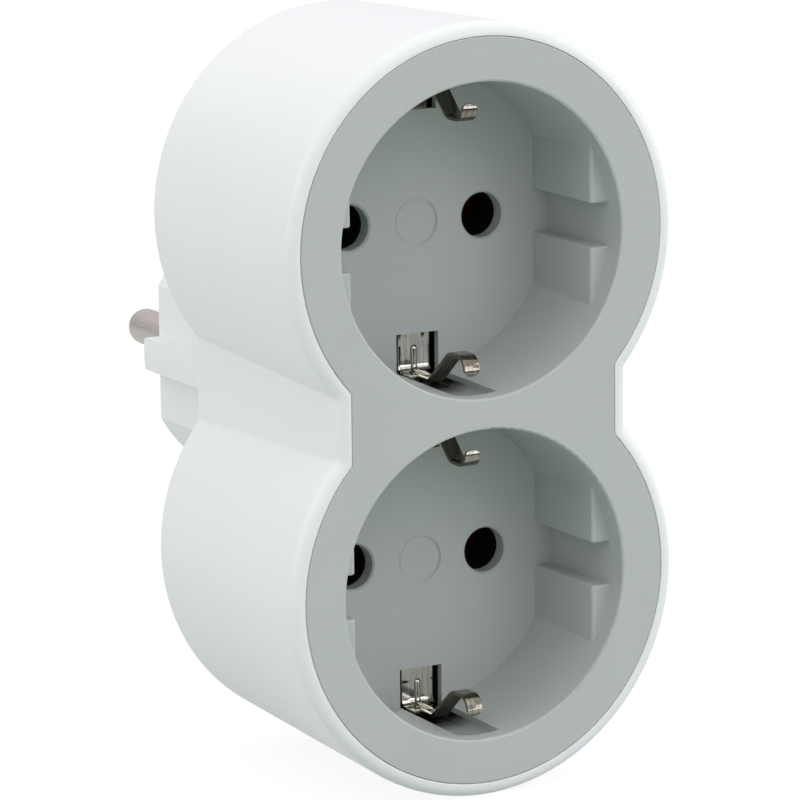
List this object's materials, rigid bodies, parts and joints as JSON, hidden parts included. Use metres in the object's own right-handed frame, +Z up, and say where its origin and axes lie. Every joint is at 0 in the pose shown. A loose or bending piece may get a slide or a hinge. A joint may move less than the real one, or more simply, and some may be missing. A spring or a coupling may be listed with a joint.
{
  "type": "multi socket adapter",
  "caption": "Plug-in adapter: a figure-eight shell with recessed round sockets in a grey cover on the front and an earthed round-pin plug head on the back.",
  "frame": {"origin": "on the plug's end face, midway between the two plug pins", "axes": "+Y along the plug pins, away from the body (into the wall); +Z up along the row of sockets; +X to the right as seen from the front"},
  "size_m": [0.0538, 0.0778, 0.097],
  "materials": {
    "white_shell": "satin moulded white",
    "grey_cover": "fine matt moulded grey",
    "plated_pin": "nickel plated",
    "plated_spring": "nickel plated strip",
    "bare_brass": "bare stamped brass",
    "black_carrier": "matt moulded black",
    "zinc_steel": "zinc plated"
  },
  "bodies": {
    "root": {"rear_housing": "white_shell", "front_cover": "grey_cover", "left_plug_pin": "plated_pin", "right_plug_pin": "plated_pin", "left_bus_bar": "bare_brass", "right_bus_bar": "bare_brass", "left_contact_carrier": "black_carrier", "right_contact_carrier": "black_carrier", "upper_left_jaw": "bare_brass", "upper_right_jaw": "bare_brass", "lower_left_jaw": "bare_brass", "lower_right_jaw": "bare_brass", "upper_earth_clip": "plated_spring", "lower_earth_clip": "plated_spring", "plug_earth_strap": "plated_spring", "jaw_rivets": "bare_brass", "earth_rivets": "bare_brass", "housing_screws": "zinc_steel"}
  },
  "joints": []
}
